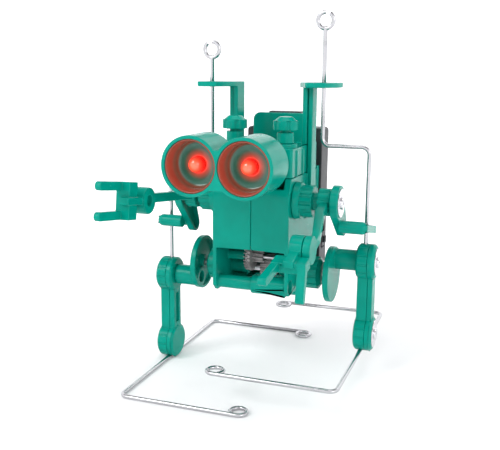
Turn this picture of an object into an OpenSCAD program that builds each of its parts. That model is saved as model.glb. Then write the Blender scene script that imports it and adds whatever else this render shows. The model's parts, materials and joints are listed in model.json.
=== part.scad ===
// Walking robot kit: geared crank, two stilt legs on wire feet, posable arms and lamp eyes.
// Frame: +X is the robot's left, -Y is its front, +Z is up. The right foot stands on Z = 0.

/* [Body] */
// Width of the body shells across X
body_w = 30.4; // [28.5:0.1:36]
// Depth of the body shells from front face to rear panel
body_d = 39.2; // [37:0.1:46]
// Distance of the body's front face ahead of the crank axle
body_front = 19.2; // [18.8:0.1:22]
// Height of the body shells' top edge above the crank axle
body_top = 39; // [37:0.5:46]
// Depth of the body below the crank axle
body_drop = 6; // [5.6:0.1:7]
// Wall of every moulded shell
wall = 1.5; // [1.2:0.1:1.8]
// Height of the gear window's top edge above the crank axle
window_top = 11.2; // [10:0.1:12]
// Height of the head block
head_h = 10.8; // [9:0.1:13]

/* [Eyes] */
// Outer radius of an eye tube
eye_r = 10.4; // [10:0.1:11.5]
// Half of the distance between the eye centres
eye_x = 9.5; // [9:0.1:10.4]
// Distance of the eye rims ahead of the crank axle
eye_front = 53; // [50:0.5:56]
// Length of an eye tube
eye_len = 17; // [14:0.5:19]
// Depth of the reflector's floor behind the rim
eye_deep = 8.6; // [7.5:0.1:10]
// Height of the eye centres above the crank axle
eye_z = 46.7; // [45:0.1:48]
// Diameter of a lamp
led_d = 5.4; // [4.8:0.1:5.8]

/* [Walking gear] */
// Radius of a crank disc
disc_r = 11; // [10:0.1:12]
// Throw of the crank pins
crank_r = 6.6; // [5.5:0.1:6.8]
// Rest angle of the right crank pin, ahead of straight down
crank_rest = 35; // [0:5:60]
// Distance of a crank disc's inner face from the middle
disc_x = 26.4; // [25.6:0.1:27]
// Distance between a leg's two hubs
leg_len = 29.3; // [26:0.1:35]
// Radius of a leg hub
leg_hub_r = 7; // [6.4:0.1:7.2]
// Inner face of a leg
leg_in = 37.2; // [36.6:0.1:38]
// Width of a leg along X
leg_w = 7.3; // [6.6:0.1:8.6]
// Radius of the pivot that carries a leg
pivot_r = 3; // [2.6:0.1:3.4]
// Radial running clearance of every pivot
run_fit = 0.05; // [0.03:0.01:0.08]

/* [Wires] */
// Diameter of the leg and foot wire
wire_d = 1.6; // [1.4:0.1:1.8]
// Length of a foot's side bar
foot_len = 91.6; // [76:0.2:110]
// Reach of a foot's cross bars towards the middle
foot_reach = 46; // [42:0.5:52]
// Drop of the foot wire below the lower hub's centre
foot_drop = 6.4; // [6.3:0.1:6.6]
// Height of the leg wire's shoulder above the crank pin
wire_bend = 44.5; // [42:0.5:48]
// Height of the leg wire's top eye above the crank pin
wire_top = 91.5; // [88:0.5:110]
// Distance of the leg wire's upper run from the middle
wire_x = 21.5; // [21:0.1:22.4]
// Mean radius of every wire eye
eyelet_r = 3; // [2.6:0.1:3.4]

/* [Shoulders and arms] */
// Distance of the shoulder axis ahead of the crank axle
shoulder_y = 10; // [9.4:0.1:11]
// Height of the shoulder axis above the crank axle
shoulder_z = 30.2; // [29:0.1:32]
// Height of the left wire guide above the crank axle
guide_left = 19.2; // [16.3:0.1:20]
// Height of the right wire guide above the crank axle
guide_right = 16.4; // [16.3:0.1:17]
// Distance from shoulder to wrist
arm_len = 40.5; // [34:0.5:48]
// Rest pitch of the left arm above the horizontal
pitch_left = -13; // [-20:1:10]
// Rest pitch of the right arm above the horizontal
pitch_right = 5; // [-10:1:15]
// Length of a claw's prongs
prong_len = 13; // [10:0.5:18]
// Height of the wire brackets' plate above the crank axle
plate_z = 74; // [70:0.2:78]

/* [Gears] */
// Gear module
gear_m = 0.5; // [0.5:0.01:0.51]
// Teeth of the small gear beside the crown wheel
small_teeth = 8; // [8:1:8]
// Teeth of the crank axle's gear
big_teeth = 22; // [22:1:22]
// Teeth of the crown wheel
crown_teeth = 24; // [24:1:24]
// Diameter of the motor's can
motor_d = 12; // [11:0.1:12.4]
// Diameter of one cell
cell_d = 10.5; // [10.4:0.05:10.6]
// Length of one cell
cell_h = 44.5; // [44:0.1:45]

/* [Hidden] */
$fn = 48;
eps = 0.01;
// Gap between faces of neighbouring pieces that only touch
gap = 0.2;
// Side of the body and its middle values
hw = body_w / 2;
back_y = body_d - body_front;
wire_r = wire_d / 2;
// Crank pins at rest
pin_y = crank_r * sin(crank_rest);
pin_z = crank_r * cos(crank_rest);
axle_r = 1.45;
// Leg stack along X
leg_out = leg_in + leg_w;
// Width of a leg's ribbed half
ribbed_w = 4.6;
wire_leg_x = leg_in + 2.8;
screw_top = 1.1;
// Shoulder stack along X
flange_t = 2.7;
drum_t = 4.7;
neck_t = 1.7;
hub_in = hw + flange_t + drum_t + neck_t + gap;
hub_w = 5;
lever_in = hub_in + hub_w + gap;
lever_w = 2.9;
lever_out = lever_in + lever_w;
stud_r = 1.9;
flange_r = 7.2;
// Wrist, from the shoulder axis
wrist_in = hub_in + 1;
wrist_w = 4.5;
wrist_r = 4.7;
// Right claw, from the wrist axis
claw_pitch = 8;
palm_y = 12.4;
palm_d = 5.6;
prong_z = 4.9;
prong_h = 3;
// Slot that clears a leg wire's sweep
slot_half = crank_r + wire_r + 0.9;
slot_w = wire_d + 0.9;
bar_r = 2.4;
bar_t = 2.4;
guide_t = 3;
guide_slope = 12;
// Gear train
gear_c = gear_m * (small_teeth + big_teeth) / 2;
train_y = -gear_c * sin(41.8);
train_z = gear_c * cos(41.8);
crown_x = -5;
crown_r = 6;
shaft_r = 0.75;
motor_x = crown_x - 2.5;
motor_z = train_z + crown_r + 2.6;
// Rear stack along Y
panel_t = 3;
box_y = back_y + gap + panel_t + gap;
box_d = cell_d + 0.6;
box_hw = hw + 1.2;
box_bottom = -4.4;
box_top = box_bottom + 2 * wall + cell_h + 12;
cover_t = 1.5;
cover_y = box_y + box_d + gap;
panel_top = plate_z - 12.8;
// Lower end of a wire bracket's outer post
post_foot = body_top - 18;
// Eye tube's wall, the lamps' leads and the board behind them
eye_wall = 1.2;
lead_z = 1.27;
board_y = -eye_front + eye_len - wall - 1.2;
// Head, set back behind the raked top of the body's front
rake = 3;
head_z = body_top + gap;
head_top = head_z + head_h;
head_front = -body_front + rake;
head_back = back_y - gap;
neck_end = head_front - gap;
knob_x = 10.2;
knob_y = -8.5;
knob_r = 3.2;
// Front screw that ties the two shells together
tie_y = -15.2;
tie_z = -2.8;
tie_head = hw - 6;
// Bearing bosses inside the body
boss_x = 6.6;
// The whole model stands on the right foot and is centred in its box
stand_z = pin_z + leg_len + foot_drop + wire_r;
front_reach = shoulder_y + arm_len * cos(pitch_right) + (palm_y + prong_len - 0.8) * cos(claw_pitch)
    + prong_z * sin(claw_pitch) + prong_h / 2;
rear_reach = foot_len / 2 + pin_y + wire_r;
stand_y = (front_reach - rear_reach) / 2;

// ---- Helpers ----
module place() translate([0, stand_y, stand_z]) children();
module on_side(s) mirror([s < 0 ? 1 : 0, 0, 0]) children();
module xcyl(r, x0, x1) translate([x0, 0, 0]) rotate([0, 90, 0]) cylinder(r=r, h=x1 - x0);
module xcone(r0, r1, x0, x1) translate([x0, 0, 0]) rotate([0, 90, 0]) cylinder(r1=r0, r2=r1, h=x1 - x0);
module ycyl(r, y0, y1) translate([0, y1, 0]) rotate([90, 0, 0]) cylinder(r=r, h=y1 - y0);
module box(x, y, z) translate([x[0], y[0], z[0]]) cube([x[1] - x[0], y[1] - y[0], z[1] - z[0]]);
// Plane shapes
module round_rect(w, h, r) {
    square([w - 2 * r, h], center=true);
    square([w, h - 2 * r], center=true);
    for (x = [-1, 1], y = [-1, 1])
        translate([x * (w / 2 - r), y * (h / 2 - r)]) circle(r=r);
}
module taper(r0, r1, d) {
    // The straight sides start just inside the circles, so that they meet at a true edge
    inset = 0.985;
    a = acos((r0 - r1) / d);
    y0 = inset * r0 * sin(a);
    y1 = inset * r1 * sin(a);
    circle(r=r0);
    translate([d, 0]) circle(r=r1);
    polygon([[r0 * cos(a) * inset, y0], [d + r1 * cos(a) * inset, y1],
        [d + r1 * cos(a) * inset, -y1], [r0 * cos(a) * inset, -y0]]);
}
module grooved(r, n, w, deep) difference() {
    circle(r=r);
    for (i = [0:n - 1]) rotate(i * 360 / n) translate([r, 0]) square([2 * deep, w], center=true);
}
module gear(n, m, tip) {
    root = n * m / 2 - 0.9 * m;
    top = n * m / 2 + tip * m;
    step = 360 / n;
    polygon([for (i = [0:n - 1]) for (k = [[-0.22, root], [-0.1, top], [0.1, top], [0.22, root]])
        k[1] * [cos((i + k[0]) * step), sin((i + k[0]) * step)]]);
}
// Extrudes a shape drawn in (Y, Z) along X
module along_x(x0, x1) translate([x0, 0, 0]) rotate([90, 0, 90]) linear_extrude(x1 - x0) children();
// Extrudes a shape drawn in (X, Z) along -Y
module along_y(y0, y1) translate([0, y1, 0]) rotate([90, 0, 0]) linear_extrude(y1 - y0) children();
// A wire's quarter bend in the plane of its own X and Y, from -Y to +X
module bend(r) rotate_extrude(angle=90) translate([r, 0]) circle(r=wire_r, $fn=24);
module wire(l) cylinder(r=wire_r, h=l, $fn=24);
module eyelet() rotate_extrude(angle=325) translate([eyelet_r, 0]) circle(r=wire_r, $fn=24);

// ---- Body ----
module body_outline() {
    polygon([[-body_front, window_top], [-body_front, body_top - 8], [-body_front + rake, body_top],
        [back_y, body_top], [back_y, -body_drop], [-body_front + 2.4, -body_drop],
        [-body_front, -body_drop + 2.4]]);
}
module body_cavity() {
    polygon([[-body_front + wall, window_top + wall], [-body_front + wall, body_top - 8],
        [-body_front + wall + 2.6, body_top - wall], [back_y + eps, body_top - wall],
        [back_y + eps, -body_drop + wall], [-body_front + wall, -body_drop + wall]]);
}
module body_half(s) on_side(s) difference() {
    union() {
        difference() {
            intersection() {
                along_x(gap / 4, hw) body_outline();
                translate([0, 0, -body_drop - 1]) linear_extrude(body_top + body_drop + 2)
                    polygon([[0, -body_front + 0.9], [hw, -body_front], [hw, back_y], [0, back_y]]);
            }
            along_x(-eps, hw - wall) body_cavity();
            box([-eps, hw - wall], [-body_front - 1, -body_front + 12], [-body_drop - 1, window_top]);
            box([-eps, 6], [-body_front, gear_m * big_teeth / 2 + 1.4], [-body_drop - 1, 0]);
            box([2, hw - wall - 1], [-body_front + wall, 16], [body_top - 4, body_top + 1]);
        }
        translate([0, tie_y, tie_z]) xcyl(s > 0 ? 3.6 : 2.6, gap / 4, hw - wall + eps);
        translate([0, 3, -body_drop - 1.2]) xcyl(4, 8, hw);
        xcyl(2.8, boss_x, hw - wall + eps);
        translate([0, train_y, train_z]) xcyl(1.9, boss_x, hw - wall + eps);
        for (y = [2.4, 10.6]) box([hw - eps, hw + 0.8], [y, y + 1.4], [post_foot, body_top]);
    }
    translate([0, tie_y, tie_z]) xcyl(1.1, -1, hw - 3);
    if (s > 0) translate([0, tie_y, tie_z]) {
        xcyl(1.5, -1, hw + 1);
        xcyl(2.7, tie_head, hw + 1);
    }
    xcyl(axle_r + run_fit + 0.3, boss_x - 1, hw + 1);
    translate([0, train_y, train_z]) xcyl(shaft_r + run_fit, boss_x - 1, hw - 0.6);
    translate([0, 3, -body_drop - 1.2]) xcyl(1.2, 7, hw - 2);
    translate([0, -shoulder_y, shoulder_z]) xcyl(2.6, hw - 3, hw + 1);
}
module body_left() color("mediumseagreen") place() body_half(1);
module body_right() color("mediumseagreen") place() body_half(-1);

module head_block() color("mediumaquamarine") place() difference() {
    union() {
        translate([0, (head_back + head_front) / 2, head_z]) linear_extrude(head_h)
            round_rect(body_w, head_back - head_front, 1.2);
        for (x = [-1, 1]) translate([x * knob_x, knob_y, head_top - eps]) cylinder(r=4.5, h=1.4);
        for (x = [-1, 1], y = [-10, -1.6]) box(x > 0 ? [hw - eps, hw + 0.5] : [-hw - 0.5, -hw + eps],
            [y - 0.7, y + 0.7], [head_z, head_top - 1]);
    }
    translate([0, (head_back + head_front) / 2, head_z - 1]) linear_extrude(head_h + 1 - wall)
        round_rect(body_w - 2 * wall, head_back - head_front - 2 * wall, 0.8);
    for (x = [-1, 1]) translate([x * knob_x, knob_y, head_top - 3]) cylinder(r=knob_r - 0.7 + run_fit, h=6);
    along_y(head_front - 1, head_front + 4) translate([0, eye_z]) square([8, 5], center=true);
}

module eye_pair(r) for (x = [-1, 1]) translate([x * eye_x, eye_z]) circle(r=r);
module eye_housing() color("mediumseagreen") place() difference() {
    union() {
        along_y(-eye_front, -eye_front + eye_len) {
            eye_pair(eye_r);
            translate([0, eye_z - 1]) square([8, 13.6], center=true);
        }
        along_y(-eye_front + eye_len - eps, neck_end) translate([0, eye_z - 1.2])
            round_rect(body_w - 6, head_h - 1.6, 2);
    }
    for (x = [-1, 1]) translate([x * eye_x, 0, eye_z])
        ycyl(eye_r - eye_wall, -eye_front - 1, -eye_front + eye_len - wall);
    along_y(board_y - 2, neck_end + 1) translate([0, eye_z]) square([8, 5], center=true);
    along_y(-eye_front + eye_len + wall, neck_end + 1) translate([0, eye_z - 1.2])
        square([body_w - 6 - 2 * wall, head_h - 1.6 - 2 * wall], center=true);
}
module reflectors() color("darkgreen") place() for (x = [-1, 1])
    translate([x * eye_x, 0, eye_z]) difference() {
    ycyl(eye_r - eye_wall - gap / 2, -eye_front + 0.5, -eye_front + eye_deep + 1.1);
    translate([0, -eye_front + eye_deep, 0]) rotate([90, 0, 0])
        cylinder(r1=eye_r - 2.1, r2=eye_r - 1.6, h=eye_deep);
    ycyl(led_d / 2 + run_fit, -eye_front, -eye_front + eye_deep + 2);
}
module lamps() color("red") place() for (x = [-1, 1]) translate([x * eye_x, 0, eye_z]) {
    ycyl(led_d / 2, -eye_front + eye_deep - 2.6, -eye_front + eye_deep + 3);
    translate([0, -eye_front + eye_deep - 2.6, 0]) sphere(r=led_d / 2);
    for (z = [-1, 1]) translate([0, 0, z * lead_z]) ycyl(0.3, -eye_front + eye_deep + 3 - eps, board_y + 1);
}
module lamp_board() color("darkolivegreen") place() difference() {
    union() {
        box([-1.2, 1.2], [board_y, -body_front + 8], [eye_z - 0.5, eye_z + 0.5]);
        box([-eye_x - 3, eye_x + 3], [board_y, board_y + 1], [eye_z - 2, eye_z + 2]);
    }
    for (x = [-1, 1], z = [-1, 1]) translate([x * eye_x, board_y, eye_z + z * lead_z]) ycyl(0.35, -1, 2);
}

// ---- Rear ----
module panel_outline() {
    round_rect(body_w - 4.8, panel_top - head_z, 3);
    translate([0, -(panel_top - head_z) / 4]) square([body_w - 4.8, (panel_top - head_z) / 2], center=true);
}
module rear_panel() color("mediumseagreen") place() difference() {
    union() {
        along_y(back_y + gap, back_y + gap + panel_t) {
            translate([0, (panel_top + head_z) / 2]) panel_outline();
            translate([0, (head_z - body_drop) / 2]) square([body_w, head_z + body_drop], center=true);
        }
        for (x = [-1, 1]) box(x > 0 ? [hw - 1.4, hw + 0.2] : [-hw - 0.2, -hw + 1.4],
            [back_y + gap, box_y], [29.8, 39.8]);
    }
    ycyl(2, 0, back_y + 10);
}
module cell_box() {
    round_rect(2 * box_hw, box_top - box_bottom, 1.5);
}
module battery_box() color("black") place() difference() {
    union() {
        along_y(box_y, box_y + box_d) translate([0, (box_top + box_bottom) / 2]) cell_box();
        along_y(box_y, box_y + 4) translate([0, (box_top + panel_top) / 2])
            round_rect(14, panel_top - box_top + 1, 0.4);
    }
    along_y(box_y + wall - 1.1, box_y + box_d + 1) translate([0, box_bottom + wall + cell_h / 2 + 1.5])
        round_rect(2 * cell_d + 1.6, cell_h + 3, 0.6);
    box([box_hw - 4, box_hw + 1], [box_y + 3, box_y + 8], [3.4, 14.6]);
    translate([0, 0, box_top - 5]) ycyl(1, box_y + 3, box_y + box_d + 1);
}
module battery_cover() color("dimgray") place() difference() {
    union() {
        along_y(cover_y, cover_y + cover_t)
            translate([0, (box_top + box_bottom) / 2])
                round_rect(2 * box_hw - 0.8, box_top - box_bottom - 0.8, 2);
        for (i = [0:4]) box([-7, 7], [cover_y + cover_t - eps, cover_y + cover_t + 0.5],
            [12 + i * 2, 13 + i * 2]);
    }
    translate([0, 0, box_top - 5]) ycyl(1.3, box_y + box_d, box_y + box_d + 4);
}
module cells() color("goldenrod") place() for (x = [-1, 1])
    translate([x * (cell_d / 2 + 0.2), box_y + 0.4 + cell_d / 2, box_bottom + wall + 1.5]) {
        translate([0, 0, x > 0 ? 0 : 1]) cylinder(r=cell_d / 2, h=cell_h - 1);
        translate([0, 0, x > 0 ? cell_h - 1 - eps : 0]) cylinder(r=1.9, h=1 + eps);
    }
module cell_contacts() color("silver") place() for (x = [-1, 1], up = [0, 1])
    translate([x * (cell_d / 2 + 0.2), box_y + 0.4 + cell_d / 2, box_bottom + wall + up * (cell_h + 3)])
    mirror([0, 0, up]) {
        box([-4, 4], [-3.6, 3.6], [0, 0.6]);
        if ((x > 0) == (up > 0)) translate([0, 0, 0.5]) cylinder(r=1.4, h=0.9);
        else translate([0, 0, 0.5]) cylinder(r1=2.8, r2=1.6, h=0.9);
    }
module power_switch() color("dimgray") place() {
    box([box_hw - 3.6, box_hw + 0.2], [box_y + 3.4, box_y + 7.6], [4, 10.4]);
    box([box_hw + 0.1, box_hw + 1.4], [box_y + 4.4, box_y + 6.6], [5.8, 8.6]);
}

// ---- Wire brackets and knobs ----
module bracket(s) on_side(s) difference() {
    union() {
        box([hw - 1.8, hw], [3, 11], [head_top + gap, plate_z - 1.9 + eps]);
        translate([0, 0, plate_z - 1.9]) linear_extrude(1.9) polygon([[hw - 1.8, 11], [hw - 1.8, -1],
            [wire_x - slot_w - 1.2, -slot_half - 1.2], [wire_x + slot_w + 1.2, -slot_half - 1.2],
            [wire_x + slot_w + 4.2, -3], [wire_x + slot_w + 4.2, 7],
            [wire_x + slot_w + 1.2, slot_half + 1.2], [wire_x - slot_w, 11]]);
        box([hw + gap, hw + 2], [4, 10.4], [post_foot, plate_z - 1]);
    }
    translate([wire_x, 0, plate_z - 3]) linear_extrude(5)
        round_rect(slot_w, 2 * slot_half, slot_w / 2 - eps);
}
module bracket_left() color("mediumseagreen") place() bracket(1);
module bracket_right() color("mediumseagreen") place() bracket(-1);
module knob(s) translate([s * knob_x, knob_y, 0]) {
    translate([0, 0, head_top + 1.5]) cylinder(r=knob_r, h=4);
    translate([0, 0, head_top - 2]) cylinder(r=knob_r - 0.7, h=4);
    translate([0, 0, head_top + 5.5 - eps]) cylinder(r=1.9, h=1 + 2 * eps);
    translate([0, 0, head_top + 6.5]) linear_extrude(3.4) grooved(4.7, 6, 1.3, 0.45);
    translate([0, 0, head_top + 9.9 - eps]) cylinder(r1=4.2, r2=2.4, h=1.5);
}
module knob_left() color("mediumaquamarine") place() knob(1);
module knob_right() color("mediumaquamarine") place() knob(-1);

// ---- Gears ----
module axle_bushes() color("darkgreen") place() for (s = [-1, 1]) on_side(s) difference() {
    union() {
        along_x(hw + gap, disc_x - 3.6) grooved(6.4, 12, 1.1, 0.5);
        xcone(6, 4.4, disc_x - 3.6 - eps, disc_x - 2.4);
        xcyl(axle_r + run_fit + 0.25, hw - 2.5, hw + 1);
    }
    xcyl(axle_r + run_fit, 0, hw + 10);
}
module crank_axle() color("silver") place() xcyl(axle_r, -disc_x - 1.8, disc_x + 1.8);
module axle_gear() color("gray") place() rotate([-crank_rest, 0, 0]) difference() {
    union() {
        along_x(-0.4, 3.6) rotate(180 / big_teeth) gear(big_teeth, gear_m, 0.75);
        xcyl(2.6, -1.4, 5);
    }
    xcyl(axle_r, -6, 6);
}
module crown_gear() color("gray") place() translate([0, train_y, train_z]) difference() {
    union() {
        xcyl(crown_r - 0.9, crown_x, crown_x + 1.8);
        along_x(crown_x + 0.7, crown_x + 1.8) gear(crown_teeth, 2 * crown_r / (crown_teeth + 2), 0.7);
        for (i = [0:crown_teeth - 1]) rotate([(i + 0.5) * 360 / crown_teeth, 0, 0])
            box([crown_x - 0.75, crown_x + 0.8], [-0.2, 0.2], [crown_r - 1.9, crown_r - 0.35]);
        along_x(crown_x + 1.7, 1) rotate(48) gear(small_teeth, gear_m, 0.75);
    }
    xcyl(shaft_r + run_fit, -9, 9);
}
module crown_axle() color("silver") place() translate([0, train_y, train_z])
    xcyl(shaft_r, -hw + 0.8, hw - 0.8);
module motor_can() color("silver") place() translate([motor_x, train_y, 0]) difference() {
    union() {
        intersection() {
            translate([0, 0, motor_z]) cylinder(r=motor_d / 2, h=20);
            box([-6, 6], [-4.9, 4.9], [motor_z - 1, motor_z + 21]);
        }
        translate([0, 0, motor_z - 0.8]) cylinder(r=2, h=1);
        box([-5.6, body_w / 2 - motor_x - wall - 0.2], [4.9 - eps, 6.4], [motor_z + 3, motor_z + 17]);
    }
    translate([0, 0, motor_z - 2]) cylinder(r=shaft_r + run_fit, h=30);
}
module motor_shaft() color("gray") place() translate([motor_x, train_y, 0]) {
    translate([0, 0, motor_z - 3.8]) cylinder(r=shaft_r, h=20);
    translate([0, 0, motor_z - 4.1]) linear_extrude(2.9) gear(8, 0.44, 0.6);
}

// ---- Cranks and legs, drawn for the side s with the pin at the crank's zenith or nadir ----
module crank(s) rotate([-crank_rest + (s > 0 ? 0 : 180), 0, 0]) on_side(s) difference() {
    union() {
        xcyl(disc_r, disc_x + 1.1, disc_x + 2.2);
        difference() {
            xcyl(disc_r, disc_x, disc_x + 2.2);
            xcyl(disc_r - 1.2, disc_x - 1, disc_x + 1.1 + eps);
        }
        xcyl(3, disc_x - 0.2, disc_x + 2);
        translate([0, 0, crank_r]) {
            xcyl(4.1, disc_x, leg_in - gap);
            xcyl(pivot_r, leg_in - gap - eps, leg_out - 0.9);
        }
    }
    translate([0, 0, crank_r]) {
        xcyl(2.4, disc_x - 1, disc_x + 6);
        xcyl(1.3, leg_in + 1, leg_out);
    }
    xcyl(axle_r, disc_x - 1, disc_x + 1.8);
}
module crank_left() color("seagreen") place() crank(1);
module crank_right() color("seagreen") place() crank(-1);

// A leg's own frame has its crank pin at the origin
module at_pin(s) place() translate([0, s * pin_y, s * pin_z]) on_side(s) children();
module leg_cuts() {
    xcyl(pivot_r + run_fit, leg_in - 1, leg_out - 0.9 + gap);
    xcyl(1.3, leg_out - 2, leg_out + 1);
    translate([0, 0, -leg_len]) xcyl(1.3, leg_in + 1, leg_out + 1);
    translate([wire_leg_x, 0, pivot_r + 0.8]) cylinder(r=wire_r + 0.02, h=leg_hub_r);
    translate([wire_leg_x, 0, -leg_len - foot_drop]) ycyl(wire_r + 0.02, -leg_hub_r, leg_hub_r);
    box([wire_leg_x - wire_r - 0.02, wire_leg_x + wire_r + 0.02], [-leg_hub_r, leg_hub_r],
        [-leg_len - leg_hub_r, -leg_len - foot_drop]);
}
// Both legs are the same way round: the ribbed half towards -X, the plain half towards +X
module leg_half(s, inner) {
    ribbed = inner == (s > 0);
    split = s > 0 ? leg_in + ribbed_w : leg_out - ribbed_w;
    x0 = inner ? leg_in + 0.8 - eps : split + gap / 4;
    x1 = inner ? split - gap / 4 : leg_out - 0.9;
    at_pin(s) difference() {
        union() {
            for (z = [0, -leg_len]) translate([0, 0, z]) {
                if (ribbed) along_x(x0, x1) grooved(leg_hub_r, 12, 0.7, 0.3);
                else xcyl(leg_hub_r, x0, x1);
                if (inner) xcone(leg_hub_r - 0.8, leg_hub_r, leg_in, leg_in + 0.8);
                else xcone(leg_hub_r, leg_hub_r - 0.9, leg_out - 0.9 - eps, leg_out);
            }
            box([inner ? leg_in + 0.5 : x0, inner ? x1 : leg_out - 0.7], [-3.2, 3.2], [-leg_len, 0]);
        }
        leg_cuts();
        if (inner) box([leg_in, leg_in + 1.6], [-1.4, 1.4],
            [-leg_len + leg_hub_r + 1.2, -leg_hub_r - 1.2]);
    }
}
module leg_left_inner() color("seagreen") leg_half(1, true);
module leg_left_outer() color("mediumseagreen") leg_half(1, false);
module leg_right_inner() color("mediumseagreen") leg_half(-1, true);
module leg_right_outer() color("seagreen") leg_half(-1, false);
// A pan head on a broad washer
module washer_screw(x, r, shaft) difference() {
    union() {
        xcyl(5.4, x, x + 0.35);
        xcone(5, 2.6, x + 0.35 - eps, x + 0.6);
        xcyl(2.3, x + 0.3, x + screw_top);
        xcyl(r, x - shaft, x + eps);
    }
    for (a = [0, 90]) rotate([a, 0, 0]) box([x + 0.6, x + 2], [-0.3, 0.3], [-1.4, 1.4]);
}
module leg_screws(s) at_pin(s) for (z = [0, -leg_len]) translate([0, 0, z])
    washer_screw(leg_out, 1.2, 3.6);
module leg_screws_left() color("silver") leg_screws(1);
module leg_screws_right() color("silver") leg_screws(-1);

// ---- Wires, built from straight runs, quarter bends and eyelets ----
module leg_wire(s) at_pin(s) {
    b = 3;
    lift = pivot_r + 0.9;
    translate([wire_leg_x, 0, lift]) wire(wire_bend - b - lift);
    translate([wire_leg_x - b, 0, wire_bend - b]) rotate([90, 0, 0]) mirror([0, 0, 1]) bend(b);
    translate([wire_x + b, 0, wire_bend]) rotate([0, 90, 0]) wire(wire_leg_x - wire_x - 2 * b);
    translate([wire_x + b, 0, wire_bend + b]) rotate([90, 180, 0]) bend(b);
    translate([wire_x, 0, wire_bend + b]) wire(wire_top - wire_bend - b - eyelet_r);
    translate([wire_x, 0, wire_top]) rotate([90, -90, 0]) eyelet();
}
module foot_wire(s) at_pin(s) translate([wire_leg_x, 0, -leg_len - foot_drop]) {
    b = 3;
    l = foot_len / 2;
    translate([0, -l + b, 0]) rotate([-90, 0, 0]) wire(foot_len - 2 * b);
    for (e = [-1, 1]) mirror([0, e < 0 ? 0 : 1, 0]) {
        translate([-b, -l + b, 0]) rotate(-90) bend(b);
        translate([-foot_reach, -l, 0]) rotate([0, 90, 0]) wire(foot_reach - b);
        translate([-foot_reach, -l + eyelet_r, 0]) rotate(-90) mirror([0, 1, 0]) eyelet();
    }
}
module leg_wire_left() color("silver") leg_wire(1);
module leg_wire_right() color("silver") leg_wire(-1);
module foot_wire_left() color("silver") foot_wire(1);
module foot_wire_right() color("silver") foot_wire(-1);

// ---- Shoulders, guide levers and arms ----
module at_shoulder(s) place() translate([0, -shoulder_y, shoulder_z]) on_side(s) children();
module shoulder(s) at_shoulder(s) difference() {
    union() {
        xcone(flange_r, flange_r - 0.5, hw + gap, hw + flange_t);
        along_x(hw + flange_t - eps, hw + flange_t + drum_t) grooved(6, 12, 1.2, 0.4);
        xcyl(3.4, hw + flange_t + drum_t - eps, hub_in - gap);
        xcyl(2.5, hw - wall, hw + 1);
    }
    xcyl(stud_r, hw - 5, hub_in);
}
module shoulder_left() color("seagreen") shoulder(1);
module shoulder_right() color("seagreen") shoulder(-1);
module guide_lever(s, h) {
    dy = shoulder_y - 1.2;
    dz = shoulder_z - h;
    long = sqrt(dy * dy + dz * dz);
    turn = atan2(-dz, dy);
    at_shoulder(s) difference() {
        along_x(lever_in, lever_out) rotate(turn) taper(6.6, 3.2, long);
        along_x(lever_in - 1, lever_out - 1.1) rotate(turn) difference() {
            taper(5.6, 2.2, long);
            circle(r=3.2);
        }
        xcyl(stud_r + run_fit, lever_in - 1, lever_out + 1);
    }
    place() translate([0, 0, h]) on_side(s) rotate([-guide_slope, 0, 0]) difference() {
        union() {
            translate([0, 0, -guide_t / 2]) linear_extrude(guide_t) {
                translate([wire_leg_x - 0.4, 0]) round_rect(slot_w + 4, 2 * slot_half + 2 * bar_t, 1.2);
                translate([lever_out - 0.4, -3.4]) square([wire_leg_x - slot_w / 2 - lever_out, 5]);
            }
            translate([0, -slot_half - bar_t / 2, 0]) {
                xcyl(bar_r, lever_out - 0.4, wire_leg_x + 0.6);
                translate([wire_leg_x + 0.6, 0, 0]) sphere(r=bar_r);
            }
        }
        translate([wire_leg_x, 0, -bar_r - 1]) linear_extrude(2 * bar_r + 2)
            round_rect(slot_w, 2 * slot_half, slot_w / 2 - eps);
    }
}
module guide_lever_left() color("mediumseagreen") guide_lever(1, guide_left);
module guide_lever_right() color("mediumseagreen") guide_lever(-1, guide_right);

module arm(s, pitch) at_shoulder(s) rotate([-pitch, 0, 0]) difference() {
    union() {
        along_x(hub_in, hub_in + hub_w - 0.8) grooved(5.2, 10, 1, 0.35);
        xcone(5.2, 4.7, hub_in + hub_w - 0.8 - eps, hub_in + hub_w);
        translate([0, 0, -1.7]) linear_extrude(3.4) polygon([
            [hub_in + 1, -3], [hub_in + 4.2, -3], [hub_in + 4.8, -12],
            [wrist_in + wrist_w + gap + 2.6, -arm_len + 9], [wrist_in + wrist_w + gap + 2.6, -arm_len],
            [wrist_in + wrist_w + gap, -arm_len], [wrist_in + wrist_w + gap, -arm_len + 8],
            [hub_in + 1.4, -12]]);
        translate([0, -arm_len, 0]) {
            xcyl(wrist_r, wrist_in + wrist_w + gap, wrist_in + wrist_w + gap + 2.6);
            xcyl(stud_r, wrist_in + 1.6, wrist_in + wrist_w + gap + eps);
        }
    }
    xcyl(stud_r + run_fit, hub_in - 1, hub_in + hub_w + 1);
}
module arm_left() color("mediumaquamarine") arm(1, pitch_left);
module arm_right() color("mediumaquamarine") arm(-1, pitch_right);

module prong(w, h, l) {
    translate([0, -l, 0]) box([-w / 2, w / 2], [0.8, l + 1], [-h / 2, h / 2]);
    translate([0, -l + 0.8, 0]) xcyl(h / 2, -w / 2, w / 2);
}
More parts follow.
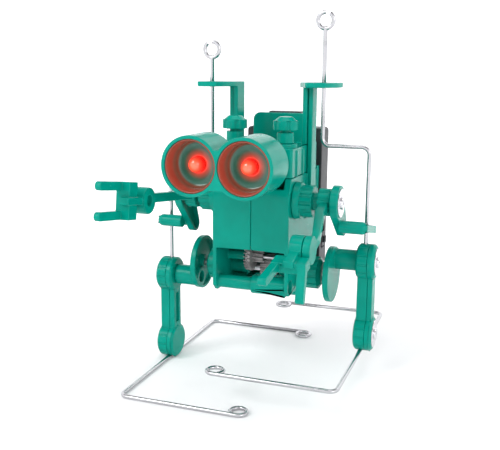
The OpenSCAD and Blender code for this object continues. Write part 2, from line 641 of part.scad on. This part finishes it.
// The left claw lies flat with one prong folded down, the right one stands on edge
module hand(s, pitch, hand_pitch, flat) at_shoulder(s) rotate([-pitch, 0, 0]) translate([0, -arm_len, 0])
    rotate([pitch - hand_pitch, 0, 0]) difference() {
    mid = wrist_in + wrist_w / 2;
    union() {
        xcyl(wrist_r, wrist_in + 0.4, wrist_in + wrist_w);
        xcone(wrist_r - 0.4, wrist_r, wrist_in, wrist_in + 0.4 + eps);
        box([mid - 1.7, mid + 1.7], [flat ? -12 : -14.4, -3.6], [-1.3, 1.3]);
        if (flat) {
            box([mid - 6, mid + 5.4], [-11, -5.4], [-3.6, 0]);
            translate([mid - 4.6, -11, -1.4]) rotate([-4, 0, 0]) prong(2.8, 2.6, prong_len);
            translate([mid + 4, -9.6, -2]) rotate([66, 0, 0]) prong(2.8, 2.8, 0.82 * prong_len);
        } else {
            box([mid - 1, mid + 4.2], [-palm_y, palm_d - palm_y], [-prong_z - prong_h / 2, prong_z + prong_h / 2]);
            for (z = [-1, 1]) translate([mid + 3.1, -palm_y, z * prong_z])
                prong(2.2, prong_h, prong_len);
        }
    }
    xcyl(stud_r + run_fit, wrist_in - 1, wrist_in + wrist_w + 1);
}
module hand_left() color("mediumseagreen") hand(1, pitch_left, -12, true);
module hand_right() color("mediumseagreen") hand(-1, pitch_right, claw_pitch, false);

module shoulder_screws() color("silver") for (s = [-1, 1]) at_shoulder(s)
    washer_screw(lever_out, stud_r, lever_out - hw + wall);
module body_screws() color("silver") place() {
    translate([0, tie_y, tie_z]) difference() {
        union() {
            xcyl(2.4, tie_head, tie_head + 1.4);
            xcyl(1.1, -6, tie_head + eps);
        }
        for (a = [0, 90]) rotate([a, 0, 0]) box([tie_head + 0.8, tie_head + 2], [-0.3, 0.3], [-1.3, 1.3]);
    }
    translate([0, 0, box_top - 5]) {
        ycyl(1, box_y + 3.5, cover_y + cover_t + eps);
        ycyl(2.2, cover_y + cover_t, cover_y + cover_t + 0.9);
    }
}

body_left();
body_right();
head_block();
eye_housing();
reflectors();
lamps();
lamp_board();
rear_panel();
battery_box();
battery_cover();
cells();
cell_contacts();
power_switch();
bracket_left();
bracket_right();
knob_left();
knob_right();
axle_bushes();
crank_axle();
axle_gear();
crown_gear();
crown_axle();
motor_can();
motor_shaft();
crank_left();
crank_right();
leg_left_inner();
leg_left_outer();
leg_right_inner();
leg_right_outer();
leg_screws_left();
leg_screws_right();
leg_wire_left();
leg_wire_right();
foot_wire_left();
foot_wire_right();
shoulder_left();
shoulder_right();
guide_lever_left();
guide_lever_right();
arm_left();
arm_right();
hand_left();
hand_right();
shoulder_screws();
body_screws();
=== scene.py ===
"""Looks of the walking robot kit: green shells, bright wires and two red lamp eyes round the CAD frame."""

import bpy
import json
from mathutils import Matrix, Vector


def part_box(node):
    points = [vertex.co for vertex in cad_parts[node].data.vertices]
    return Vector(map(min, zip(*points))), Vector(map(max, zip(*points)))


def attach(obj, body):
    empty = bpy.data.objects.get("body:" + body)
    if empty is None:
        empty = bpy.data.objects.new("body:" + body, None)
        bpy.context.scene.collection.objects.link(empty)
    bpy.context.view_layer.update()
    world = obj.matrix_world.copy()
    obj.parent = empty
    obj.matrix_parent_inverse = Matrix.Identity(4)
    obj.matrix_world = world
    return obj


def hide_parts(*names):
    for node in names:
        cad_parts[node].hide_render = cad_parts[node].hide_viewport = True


bl_info = {
    "name": "Walking Robot Kit",
    "version": (1, 0, 0),
    "blender": (4, 5, 0),
    "location": "View3D > Sidebar > Robot",
    "description": "Makes the robot's mouldings, wires, lamps and screws round its packed frame",
    "category": "Add Mesh",
}

import json
import math

import bmesh
import bpy
from bpy.props import FloatProperty, FloatVectorProperty, IntProperty, PointerProperty
from mathutils import Matrix, Vector

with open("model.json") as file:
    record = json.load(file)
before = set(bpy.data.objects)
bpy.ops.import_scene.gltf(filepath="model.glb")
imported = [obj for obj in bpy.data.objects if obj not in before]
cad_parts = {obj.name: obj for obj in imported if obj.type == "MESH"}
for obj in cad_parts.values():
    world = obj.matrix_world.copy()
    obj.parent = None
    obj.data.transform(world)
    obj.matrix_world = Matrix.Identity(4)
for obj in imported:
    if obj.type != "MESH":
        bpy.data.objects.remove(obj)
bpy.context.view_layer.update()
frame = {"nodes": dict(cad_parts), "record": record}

BODY_OF = {n: b for b, nodes in frame["record"]["behaviour"]["bodies"].items() for n in nodes}
SLOT_OF = {p["node"]: p["material_slot"] for p in frame["record"]["subparts"]}
SIDES = ("left", "right")
MM = 0.001
SEAM = 0.03 * MM  # corners nearer than this become one, so that no edge radius spikes there
FLAT = math.radians(0.8)  # faces that turn less than this become one
SHEARED = math.radians(50)  # a wire's ends turn more than this from its side


# ---- Shader expressions ----
class Term:
    """A value socket that takes part in Python sums; each sign adds its Math node."""

    def __init__(self, tree, socket):
        self.tree, self.socket = tree, socket

    def maths(self, operation, first, second=None):
        values = {0: first} if second is None else {0: first, 1: second}
        return self.tree.node("ShaderNodeMath", {"operation": operation}, values)

    def __add__(self, other):
        return self.maths("ADD", self, other)

    def __radd__(self, other):
        return self.maths("ADD", other, self)

    def __sub__(self, other):
        return self.maths("SUBTRACT", self, other)

    def __rsub__(self, other):
        return self.maths("SUBTRACT", other, self)

    def __mul__(self, other):
        return self.maths("MULTIPLY", self, other)

    def __rmul__(self, other):
        return self.maths("MULTIPLY", other, self)

    def __pow__(self, other):
        return self.maths("POWER", self, other)

    def clamped(self):
        return self.tree.node("ShaderNodeClamp", {}, {"Value": self})

    def ramp(self, low, high):
        """Goes smoothly from 0 at low to 1 at high."""
        settings = {"interpolation_type": "SMOOTHSTEP"}
        values = {"Value": self, "From Min": low, "From Max": high}
        return self.tree.node("ShaderNodeMapRange", settings, values)


class Finish:
    """A material's nodes, with one method that adds any of them."""

    def __init__(self, name, colour, roughness, **constants):
        self.material = bpy.data.materials.new(name)
        self.material.use_nodes = True
        self.material.diffuse_color = (*colour[:3], 1)
        self.tree = self.material.node_tree
        self.shader = self.tree.nodes["Principled BSDF"]
        self.shader.inputs["Base Color"].default_value = (*colour[:3], 1)
        self.shader.inputs["Roughness"].default_value = roughness
        for socket, value in constants.items():
            self.shader.inputs[socket.replace("_", " ")].default_value = value

    def node(self, kind, settings, values, output=0):
        node = self.tree.nodes.new(kind)
        for name, value in settings.items():
            setattr(node, name, value)
        for name, value in values.items():
            if isinstance(value, Term):
                self.tree.links.new(value.socket, node.inputs[name])
            else:
                node.inputs[name].default_value = value
        return Term(self, node.outputs[output])

    def place(self):
        """Position on the piece, in metres."""
        return self.node("ShaderNodeTexCoord", {}, {}, "Object")

    def noise(self, scale, detail=2.0, vector=None, distortion=0.0):
        place = vector or self.place()
        values = {"Scale": scale, "Detail": detail, "Distortion": distortion, "Vector": place}
        return self.node("ShaderNodeTexNoise", {}, values, "Fac")

    def stretched(self, x, y, z):
        settings, values = {"operation": "MULTIPLY"}, {0: self.place(), 1: (x, y, z)}
        return self.node("ShaderNodeVectorMath", settings, values)

    def distance(self, point):
        settings, values = {"operation": "DISTANCE"}, {0: self.place(), 1: point}
        return self.node("ShaderNodeVectorMath", settings, values, "Value")

    def mix(self, share, first, second):
        """Goes from the first colour to the second as share goes from 0 to 1."""
        first, second = (c if isinstance(c, Term) else (*c, 1) for c in (first, second))
        return self.node("ShaderNodeMix", {"data_type": "RGBA"}, {0: share, 6: first, 7: second}, 2)

    def bump(self, height, depth, strength=1.0):
        return self.node("ShaderNodeBump", {}, {"Height": height, "Distance": depth, "Strength": strength})

    def feed(self, **links):
        for socket, term in links.items():
            self.tree.links.new(term.socket, self.shader.inputs[socket.replace("_", " ")])
        return self.material


def shade(colour, gain):
    return tuple(min(1.0, c * gain) for c in colour)


def moulded_plastic(name, colour, roughness=0.2):
    """Glossy moulding: faint flow marks, a fine skin and handling marks in its gloss."""
    f = Finish(name, colour, roughness, Coat_Weight=0.04, Coat_Roughness=0.06, Specular_IOR_Level=0.08)
    flow = f.noise(55, 3, distortion=1.6).ramp(0.3, 0.7)
    skin = f.noise(900, 3)
    handling = f.noise(130, 4).ramp(0.46, 0.72)
    height = skin * 0.6 + f.noise(170, 2) * 0.8
    return f.feed(
        Base_Color=f.mix(flow, shade(colour, 0.93), shade(colour, 1.05)),
        Roughness=handling * 0.08 + skin * 0.06 + (roughness - 0.04),
        Normal=f.bump(height, 0.04 * MM, 0.2),
    )


def textured_black(name, colour):
    """Spark-eroded black moulding with greyed high spots."""
    f = Finish(name, colour, 0.5, IOR=1.48)
    grain = f.noise(1500, 3)
    rubbed = f.noise(90, 4).ramp(0.5, 0.75)
    return f.feed(
        Base_Color=f.mix(grain * 0.5 + rubbed * 0.25, colour, shade(colour, 2.6)),
        Roughness=grain * 0.25 + (0.36 - rubbed * 0.1),
        Normal=f.bump(grain, 0.09 * MM, 0.6),
    )


def gear_acetal(name, colour):
    """Satin grey gear plastic with grease-darkened patches."""
    f = Finish(name, colour, 0.45)
    grease = f.noise(260, 3).ramp(0.42, 0.66)
    grain = f.noise(1800, 2)
    return f.feed(
        Base_Color=f.mix(grease, shade(colour, 1.12), shade(colour, 0.62)),
        Roughness=grain * 0.16 + (0.44 - grease * 0.2),
        Normal=f.bump(grain, 0.03 * MM, 0.4),
    )


def bright_metal(name, colour, roughness, streak):
    """Plated metal with fine marks drawn along the streak direction."""
    f = Finish(name, colour, roughness, Metallic=1.0)
    drawn = f.noise(1, 3, vector=f.stretched(*streak))
    tarnish = f.noise(140, 4).ramp(0.5, 0.8)
    return f.feed(
        Base_Color=f.mix(tarnish * 0.6, colour, shade(colour, 0.72)),
        Roughness=drawn * 0.12 + tarnish * 0.1 + (roughness - 0.06),
        Normal=f.bump(drawn, 0.02 * MM, 0.3),
    )


def board_mask(name, colour):
    """Green solder mask with weave showing through."""
    f = Finish(name, colour, 0.35)
    weave = f.node("ShaderNodeTexBrick", {}, {"Scale": 900.0, "Vector": f.place()}, "Fac")
    return f.feed(Base_Color=f.mix(weave * 0.3, colour, shade(colour, 1.6)), Roughness=weave * 0.1 + 0.3)


def cell_sleeve(name, colour):
    """Foil sleeve of a dry cell: copper-coloured, with darker rubbed patches."""
    f = Finish(name, colour, 0.3, Metallic=0.8)
    rubbed = f.noise(300, 3).ramp(0.45, 0.7)
    return f.feed(Base_Color=f.mix(rubbed * 0.4, colour, shade(colour, 0.5)), Roughness=rubbed * 0.2 + 0.22)


def eye_centres():
    """The tip of each lamp's dome, and the lamps' radius."""
    low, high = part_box("lamps")
    radius = (high.z - low.z) / 2
    return [Vector((x, low.y, low.z + radius)) for x in (high.x - radius, low.x + radius)], radius


def lamp_lens(name, colour):
    """Red epoxy lens, brightest at the die behind its dome."""
    centres, radius = eye_centres()
    f = Finish(name, colour, 0.08, Coat_Weight=0.6, IOR=1.54, Emission_Strength=1.3)
    near = None
    for c in centres:
        glow = 1 - f.distance(c + Vector((0, 0.4 * radius, 0))).ramp(0.15 * radius, 1.25 * radius)
        near = glow if near is None else near + glow
    haze = f.noise(700, 2)
    return f.feed(
        Base_Color=f.mix(haze * 0.4, colour, shade(colour, 0.5)),
        Emission_Color=f.mix(near.clamped(), (0.5, 0.0, 0.0), (1.0, 0.17, 0.07)),
        Roughness=haze * 0.06 + 0.05,
    )


def lit_cup(name, colour, halo):
    """Dark glossy cup with the lamp's light painted on it as colour and glow, fading out from the lamp."""
    centres, radius = eye_centres()
    f = Finish(name, colour, 0.3, Coat_Weight=0.3, Emission_Strength=1.1)
    near = None
    for c in centres:
        away = f.distance(c + Vector((0, 0.9 * radius, 0)))
        near = away if near is None else near.maths("MINIMUM", near, away)
    mark = f.noise(420, 3)
    lit = ((1 - near.ramp(0.9 * radius, 2.5 * radius)) ** 1.4) * (mark * 0.4 + 0.8)
    # Painted light: far from the lamps, the cup's wall gets the lamps' red light painted on as a brown-red
    # colour and a faint red glow. Elsewhere the cup glows a faint green.
    red_lit_wall = near.ramp(2.8 * radius, 3.15 * radius)
    return f.feed(
        Base_Color=f.mix(lit.clamped(), f.mix(red_lit_wall, colour, (0.20, 0.045, 0.028)), shade(halo, 0.6)),
        Emission_Color=f.mix(lit.clamped(), f.mix(red_lit_wall, (0.0, 0.012, 0.008), (0.10, 0.012, 0.005)), halo),
        Roughness=mark * 0.1 + 0.2,
        Normal=f.bump(mark, 0.03 * MM, 0.3),
    )


def pale_paper(name, colour):
    """White paper, lit from behind away from the middle so that it fades to plain white."""
    f = Finish(name, colour, 0.9, Emission_Strength=0.5, Specular_IOR_Level=0.1)
    mottle = f.noise(3, 2)
    away = f.distance((0, 0, 0)).ramp(0.05, 0.45)
    return f.feed(
        Base_Color=f.mix(mottle * 0.2, colour, shade(colour, 0.985)),
        Emission_Color=f.mix(away, (0.14, 0.14, 0.14), (1.0, 1.0, 1.0)),
    )


# ---- Settings ----
class RobotFinishSettings(bpy.types.PropertyGroup):
    green: FloatVectorProperty(name="Moulding green", description="Colour of the green mouldings",
                               subtype="COLOR", default=(0.0, 0.26, 0.195), min=0, max=1)
    black: FloatVectorProperty(name="Battery black", description="Colour of the battery box and its cover",
                               subtype="COLOR", default=(0.012, 0.014, 0.016), min=0, max=1)
    gear: FloatVectorProperty(name="Gear grey", description="Colour of the gears",
                              subtype="COLOR", default=(0.34, 0.32, 0.32), min=0, max=1)
    wire: FloatVectorProperty(name="Wire", description="Colour of the bright wires",
                              subtype="COLOR", default=(0.50, 0.50, 0.52), min=0, max=1)
    lamp: FloatVectorProperty(name="Lamp red", description="Colour of the lamps' lenses",
                              subtype="COLOR", default=(0.85, 0.02, 0.015), min=0, max=1)
    cup: FloatVectorProperty(name="Cup green", description="Colour of the cups away from the lamp's light",
                             subtype="COLOR", default=(0.01, 0.13, 0.08), min=0, max=1)
    halo: FloatVectorProperty(name="Halo", description="Colour of the lamp's light on its cup",
                              subtype="COLOR", default=(0.9, 0.03, 0.015), min=0, max=1)


class RobotEdgeSettings(bpy.types.PropertyGroup):
    shell: FloatProperty(name="Shell edges", description="Edge radius of the large mouldings",
                         default=0.00035, min=0.00005, max=0.001, unit="LENGTH")
    fine: FloatProperty(name="Fine edges", description="Edge radius of small toothed pieces",
                        default=0.00008, min=0.00002, max=0.0003, unit="LENGTH")
    steps: IntProperty(name="Edge steps", description="Faces round each edge radius", default=3, min=1, max=6)
    sharp: FloatProperty(name="Sharp above", description="Edges that turn more than this get a radius",
                         default=math.radians(32), min=0.1, max=1.5, subtype="ANGLE")


class RobotStageSettings(bpy.types.PropertyGroup):
    lens: FloatProperty(name="Lens", description="Camera's focal length, in millimetres",
                        default=53.13, min=20, max=200)
    azimuth: FloatProperty(name="Camera turn", description="Camera's turn towards the robot's left",
                           default=math.radians(19.65), subtype="ANGLE")
    elevation: FloatProperty(name="Camera height angle", description="Camera's angle above the horizon",
                             default=math.radians(11.69), subtype="ANGLE")
    roll: FloatProperty(name="Camera roll", description="Camera's roll",
                        default=math.radians(0.45), subtype="ANGLE")
    distance: FloatProperty(name="Camera distance", description="Distance from the camera to its target",
                            default=0.2988, unit="LENGTH")
    target: FloatVectorProperty(name="Target", description="Point at the middle of the view",
                                default=(-0.00673, 0.01325, 0.05891), subtype="XYZ", unit="LENGTH")
    floor: FloatVectorProperty(name="Floor", description="Colour of the floor and the sweep behind it",
                               subtype="COLOR", default=(0.86, 0.86, 0.87), min=0, max=1)
    sweep: FloatProperty(name="Sweep radius", description="Radius of the flat floor before it curves up",
                         default=1.6, unit="LENGTH")


def finish_settings():
    return bpy.context.scene.robot_finish


def edge_settings():
    return bpy.context.scene.robot_edge


FINISHES = {}


def finish(slot):
    """The material for one of the record's slots, made once."""
    if slot not in FINISHES:
        s = finish_settings()
        makers = {
            "teal_gloss": lambda: moulded_plastic("Moulded green", s.green),
            "grey_gear": lambda: gear_acetal("Gear grey", s.gear),
            "black_box": lambda: textured_black("Textured black", s.black),
            "wire": lambda: bright_metal("Bright wire", s.wire, 0.22, (900, 160, 160)),
            "screw": lambda: bright_metal("Nickel plate", shade(s.wire, 1.4), 0.24, (300, 900, 900)),
            "steel": lambda: bright_metal("Ground steel", shade(s.wire, 1.2), 0.35, (1400, 400, 400)),
            "reflector": lambda: lit_cup("Lit cup", s.cup, s.halo),
            "lamp": lambda: lamp_lens("Red lens", s.lamp),
            "board": lambda: board_mask("Solder mask", (0.03, 0.16, 0.07)),
            "cell_wrap": lambda: cell_sleeve("Cell sleeve", (0.72, 0.46, 0.10)),
        }
        FINISHES[slot] = makers[slot]()
    return FINISHES[slot]


# ---- Making and placing ----
def add_piece(name, mesh, node):
    """Puts a finished form in the place of its CAD node, riding on that node's body."""
    piece = bpy.data.objects.new(name, mesh)
    bpy.context.scene.collection.objects.link(piece)
    slot = SLOT_OF[node]
    mesh.materials.clear()
    mesh.materials.append(finish(slot))
    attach(piece, BODY_OF[node])
    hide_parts(node)
    return piece


def round_edges(piece, radius):
    s = edge_settings()
    bevel = piece.modifiers.new("Edge radius", "BEVEL")
    bevel.width = radius
    bevel.segments = s.steps
    bevel.limit_method = "ANGLE"
    bevel.angle_limit = s.sharp
    bevel.miter_outer = "MITER_ARC"
    bevel.use_clamp_overlap = False
    normals = piece.modifiers.new("Flat faces", "WEIGHTED_NORMAL")
    normals.keep_sharp = True


def joined(node):
    """A copy of a CAD node's mesh with its faces joined up and smooth."""
    mesh = frame["nodes"][node].data.copy()
    form = bmesh.new()
    form.from_mesh(mesh)
    bmesh.ops.remove_doubles(form, verts=form.verts, dist=SEAM)
    bmesh.ops.dissolve_limit(form, angle_limit=FLAT, verts=form.verts, edges=form.edges)
    for face in form.faces:
        face.smooth = True
    form.to_mesh(mesh)
    form.free()
    return mesh


def moulding(node, radius=None):
    """A CAD node's form with its edges rounded as a mould leaves them."""
    piece = add_piece(node + "_moulding", joined(node), node)
    round_edges(piece, radius or edge_settings().shell)


def drawn_wire(node):
    """A bent wire, smooth all along, with sheared ends."""
    mesh = joined(node)
    mesh.set_sharp_from_angle(angle=SHEARED)
    add_piece(node + "_drawn", mesh, node)


def lathe(profile, steps, matrix, form):
    """Adds to form a skin of (along, radius) points turned round the matrix's X axis."""
    turn = [2 * math.pi * i / steps for i in range(steps)]
    rings = []
    for along, radius in profile:
        if radius < 1e-7:
            rings.append([form.verts.new(matrix @ Vector((along, 0, 0)))] * steps)
        else:
            ring = [Vector((along, radius * math.cos(a), radius * math.sin(a))) for a in turn]
            rings.append([form.verts.new(matrix @ point) for point in ring])
    for one, two in zip(rings, rings[1:]):
        for i in range(steps):
            k = (i + 1) % steps
            corners = []
            for v in (one[i], one[k], two[k], two[i]):
                if v not in corners:
                    corners.append(v)
            if len(corners) > 2:
                form.faces.new(corners).smooth = True


def arc(centre, radius, start, stop, steps):
    """Points (along, radius) on an arc, with angles in degrees from the along direction."""
    turn = [math.radians(start + (stop - start) * i / steps) for i in range(steps + 1)]
    return [(centre[0] + radius * math.cos(a), centre[1] + radius * math.sin(a)) for a in turn]


def to_mesh(form, name):
    mesh = bpy.data.meshes.new(name)
    bmesh.ops.recalc_face_normals(form, faces=form.faces)
    form.to_mesh(mesh)
    form.free()
    return mesh


def along(axis, point):
    """A matrix that lays the lathe's X axis along a direction at a point."""
    return Matrix.Translation(point) @ Vector(axis).to_track_quat("X", "Z").to_matrix().to_4x4()


# ---- Operators ----
class ROBOT_OT_shells(bpy.types.Operator):
    """Makes the body shells, the head block and the rear panel"""
    bl_idname = "robot.shells"
    bl_label = "Body shells"

    def execute(self, context):
        for node in ("body_left", "body_right", "head_block", "rear_panel"):
            moulding(node)
        moulding("axle_bushes", 0.15 * MM)
        return {"FINISHED"}


class ROBOT_OT_eyes(bpy.types.Operator):
    """Makes the eye housing, its two cups and the red lamps"""
    bl_idname = "robot.eyes"
    bl_label = "Eyes"

    def execute(self, context):
        moulding("eye_housing", 0.3 * MM)
        centres, lamp_r = eye_centres()
        low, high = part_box("reflectors")
        back, outer = high.y - low.y, (high.z - low.z) / 2
        floor, wall_r, corner = back - 1.2 * MM, outer - 1.0 * MM, 1.4 * MM
        hole, collar = lamp_r * 1.02, 0.5 * MM
        lip, rim_out, rim_in = 0.15 * MM, outer - 0.3 * MM, outer - 0.45 * MM
        ring = [(floor - collar, hole), (floor - collar, hole + collar), (floor, hole + 0.9 * MM)]
        fillet = arc((floor - corner, wall_r - corner), corner, 0, 90, 8)
        cup = [(back, hole), *ring, *fillet, (lip, rim_in), (0, rim_out), (lip, outer), (back, outer),
               (back, hole)]
        can, lead_r, lead_apart = lamp_r + 5 * MM, 0.28 * MM, 1.27 * MM
        lamp = [*arc((lamp_r, 0), lamp_r, 180, 90, 10), (can, lamp_r), (can, 0)]
        start = can - 0.2 * MM
        cups, lamps = bmesh.new(), bmesh.new()
        for c in centres:
            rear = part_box("lamps")[1].y - c.y
            lathe(cup, 64, along((0, 1, 0), Vector((c.x, low.y, c.z))), cups)
            lathe(lamp, 40, along((0, 1, 0), c), lamps)
            for side in (-1, 1):
                lathe([(start, 0), (start, lead_r), (rear, lead_r), (rear, 0)], 10,
                      along((0, 1, 0), c + Vector((0, 0, side * lead_apart))), lamps)
        add_piece("reflector_cups", to_mesh(cups, "reflector_cups"), "reflectors")
        add_piece("red_lamps", to_mesh(lamps, "red_lamps"), "lamps")
        moulding("lamp_board", 0.1 * MM)
        return {"FINISHED"}


class ROBOT_OT_rear(bpy.types.Operator):
    """Makes the battery box with its cover, cells, contacts and switch"""
    bl_idname = "robot.rear"
    bl_label = "Battery box"

    def execute(self, context):
        for node, radius in (("battery_box", 0.4), ("battery_cover", 0.35), ("cells", 0.25),
                             ("cell_contacts", 0.1), ("power_switch", 0.2)):
            moulding(node, radius * MM)
        return {"FINISHED"}


class ROBOT_OT_brackets(bpy.types.Operator):
    """Makes the wire brackets and the two knobs on the head"""
    bl_idname = "robot.brackets"
    bl_label = "Brackets and knobs"

    def execute(self, context):
        for side in SIDES:
            moulding("bracket_" + side)
            moulding("knob_" + side, 0.25 * MM)
        return {"FINISHED"}


class ROBOT_OT_gears(bpy.types.Operator):
    """Makes the gear train, its axles and the motor"""
    bl_idname = "robot.gears"
    bl_label = "Gear train"

    def execute(self, context):
        fine = edge_settings().fine
        for node in ("axle_gear", "crown_gear", "motor_shaft"):
            moulding(node, fine)
        for node in ("crank_axle", "crown_axle", "motor_can"):
            moulding(node, 2 * fine)
        return {"FINISHED"}


class ROBOT_OT_legs(bpy.types.Operator):
    """Makes the crank discs and both halves of each leg"""
    bl_idname = "robot.legs"
    bl_label = "Cranks and legs"

    def execute(self, context):
        for side in SIDES:
            moulding("crank_" + side, 0.25 * MM)
            moulding(f"leg_{side}_inner", 0.2 * MM)
            moulding(f"leg_{side}_outer", 0.2 * MM)
        return {"FINISHED"}


class ROBOT_OT_wires(bpy.types.Operator):
    """Makes the bright leg wires and the foot wires"""
    bl_idname = "robot.wires"
    bl_label = "Wires"

    def execute(self, context):
        for side in SIDES:
            drawn_wire("leg_wire_" + side)
            drawn_wire("foot_wire_" + side)
        return {"FINISHED"}


class ROBOT_OT_arms(bpy.types.Operator):
    """Makes the shoulders, the guide levers, the arms and the claw hands"""
    bl_idname = "robot.arms"
    bl_label = "Shoulders and arms"

    def execute(self, context):
        for side in SIDES:
            for node in ("shoulder_", "guide_lever_", "arm_", "hand_"):
                moulding(node + side, 0.3 * MM)
        return {"FINISHED"}


class ROBOT_OT_screws(bpy.types.Operator):
    """Makes the washer screws at the shoulders, knees and ankles, and the body's screws"""
    bl_idname = "robot.screws"
    bl_label = "Screws"

    def execute(self, context):
        for node in ("leg_screws_left", "leg_screws_right", "shoulder_screws", "body_screws"):
            moulding(node, edge_settings().fine)
        return {"FINISHED"}


class ROBOT_OT_stage(bpy.types.Operator):
    """Makes the pale floor that sweeps up all round, the soft lights and the camera"""
    bl_idname = "robot.stage"
    bl_label = "Stage"

    # name, place, size and power of each soft light
    LIGHTS = (
        ("key", (-0.55, -0.75, 0.85), 0.5, 6.5),
        ("fill", (0.95, -0.55, 0.45), 0.5, 2.6),
        ("back", (0.3, 0.9, 0.9), 0.7, 2.4),
        ("top", (0.0, 0.0, 1.3), 0.9, 6),
    )

    def execute(self, context):
        s = context.scene.robot_stage
        form = bmesh.new()
        bend, wall_top, middle = 0.7, 2.2, 0.3
        curve = arc((bend, s.sweep), bend, 180, 90, 16)[1:]
        profile = [(0, 0), (0, middle), (0, s.sweep), *curve, (wall_top, s.sweep + bend)]
        lathe(profile, 96, along((0, 0, 1), Vector((0, 0, 0))), form)
        mesh = to_mesh(form, "floor")
        floor = bpy.data.objects.new("floor", mesh)
        mesh.materials.append(pale_paper("Pale floor", s.floor))
        context.scene.collection.objects.link(floor)
        context.scene.view_settings.view_transform = "Standard"
        for light in self.LIGHTS:
            self.light(context, *light, s.target)
        world = context.scene.world or bpy.data.worlds.new("World")
        context.scene.world = world
        world.use_nodes = True
        air = world.node_tree.nodes["Background"].inputs
        air["Color"].default_value = (1, 1, 1, 1)
        air["Strength"].default_value = 0.12
        self.camera(context, s)
        return {"FINISHED"}

    def light(self, context, name, place, size, power, target):
        lamp = bpy.data.lights.new(name, "AREA")
        lamp.size, lamp.energy = size, power
        holder = bpy.data.objects.new(name, lamp)
        holder.location = place
        holder.rotation_euler = (Vector(target) - Vector(place)).to_track_quat("-Z", "Y").to_euler()
        holder.visible_camera = False
        context.scene.collection.objects.link(holder)

    def camera(self, context, s):
        lens = bpy.data.cameras.new("camera")
        lens.lens, lens.sensor_width = s.lens, 36
        lens.clip_start, lens.clip_end = 0.01, 20
        holder = bpy.data.objects.new("camera", lens)
        level = math.cos(s.elevation)
        back = Vector((math.sin(s.azimuth) * level, -math.cos(s.azimuth) * level, math.sin(s.elevation)))
        facing = (-back).to_track_quat("-Z", "Y").to_matrix().to_4x4()
        holder.matrix_world = (Matrix.Translation(Vector(s.target) + back * s.distance) @ facing
                               @ Matrix.Rotation(s.roll, 4, "Z"))
        context.scene.collection.objects.link(holder)
        context.scene.camera = holder


OPERATORS = (ROBOT_OT_stage, ROBOT_OT_shells, ROBOT_OT_eyes, ROBOT_OT_rear, ROBOT_OT_brackets, ROBOT_OT_gears,
             ROBOT_OT_legs, ROBOT_OT_wires, ROBOT_OT_arms, ROBOT_OT_screws)


class ROBOT_PT_panel(bpy.types.Panel):
    """Lists the robot's settings and the operators that make its pieces"""
    bl_idname = "ROBOT_PT_panel"
    bl_label = "Robot"
    bl_space_type = "VIEW_3D"
    bl_region_type = "UI"
    bl_category = "Robot"

    def draw(self, context):
        for group in (context.scene.robot_finish, context.scene.robot_edge, context.scene.robot_stage):
            box = self.layout.box()
            for name in group.__annotations__:
                box.prop(group, name)
        for operator in OPERATORS:
            self.layout.operator(operator.bl_idname)


SETTINGS = {
    "robot_finish": RobotFinishSettings,
    "robot_edge": RobotEdgeSettings,
    "robot_stage": RobotStageSettings,
}
CLASSES = (*SETTINGS.values(), *OPERATORS, ROBOT_PT_panel)


def register():
    for cls in CLASSES:
        bpy.utils.register_class(cls)
    for name, cls in SETTINGS.items():
        setattr(bpy.types.Scene, name, PointerProperty(type=cls))


def unregister():
    for name in SETTINGS:
        delattr(bpy.types.Scene, name)
    for cls in reversed(CLASSES):
        bpy.utils.unregister_class(cls)


def main():
    register()
    for operator in OPERATORS:
        group, name = operator.bl_idname.split(".")
        getattr(getattr(bpy.ops, group), name)()


if __name__ == "__main__":
    main()
